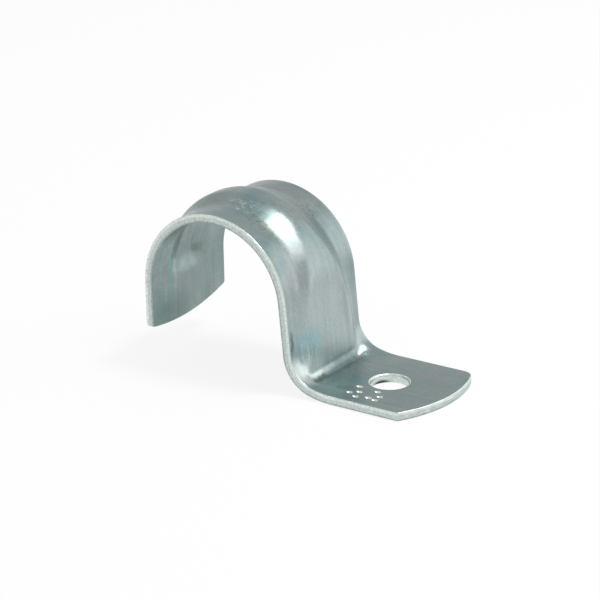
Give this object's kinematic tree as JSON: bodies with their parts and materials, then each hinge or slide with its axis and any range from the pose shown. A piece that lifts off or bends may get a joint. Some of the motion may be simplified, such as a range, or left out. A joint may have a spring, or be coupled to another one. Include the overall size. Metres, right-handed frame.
{
  "type": "conduit strap",
  "caption": "One-hole conduit strap in bright zinc-plated steel, with a ribbed saddle, a free leg and a flat screw foot.",
  "frame": {"origin": "centre of the screw hole on the mounting face", "axes": "+X along the foot away from the conduit, +Y along the conduit, +Z out of the wall, along the screw hole"},
  "size_m": [0.0497, 0.019, 0.0273],
  "materials": {
    "zinc_plate": "bright zinc plating on pressed steel strip, faint blue-green passivation"
  },
  "bodies": {
    "root": {"strap": "zinc_plate"}
  },
  "joints": []
}
